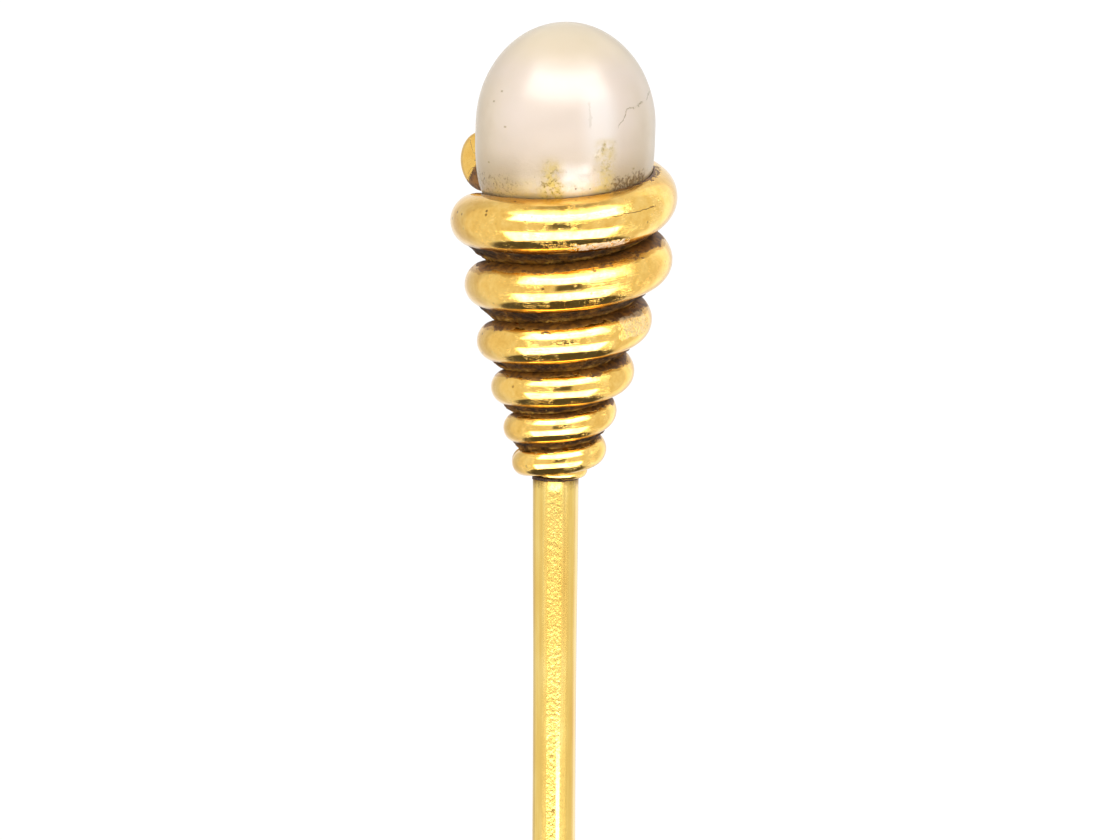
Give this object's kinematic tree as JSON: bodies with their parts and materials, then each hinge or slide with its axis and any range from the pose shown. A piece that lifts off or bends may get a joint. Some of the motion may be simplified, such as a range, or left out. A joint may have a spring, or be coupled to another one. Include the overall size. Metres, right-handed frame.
{
  "type": "stick pin with a pearl head",
  "caption": "Stick pin: a pearl seated in a tapering coil of gold wire on a slender pointed stem, worn in a cravat, lapel or hat.",
  "frame": {"origin": "on the stem's axis, at the shoulder where the stem meets the head", "axes": "+Z along the stem, from the point to the pearl; -Y is the front, where the wire of each turn rises from left to right; +X is to the right seen from the front"},
  "size_m": [0.0051, 0.0057, 0.0743],
  "materials": {
    "stem_gold": "worn satin",
    "seam_solder": "dull, tarnished",
    "core_gold": "satin",
    "coil_gold": "worn polish",
    "groove_fill": "dull, dirty",
    "cup_gold": "satin",
    "peg_gold": "satin",
    "cement": "matt",
    "pearl_nacre": "nacre"
  },
  "bodies": {
    "root": {"pin_stem": "stem_gold", "stem_solder": "seam_solder", "coil_core": "core_gold", "coil_wire": "coil_gold", "coil_solder": "groove_fill", "pearl_cup": "cup_gold", "pearl_peg": "peg_gold", "pearl_cement": "cement", "pearl": "pearl_nacre"}
  },
  "joints": []
}
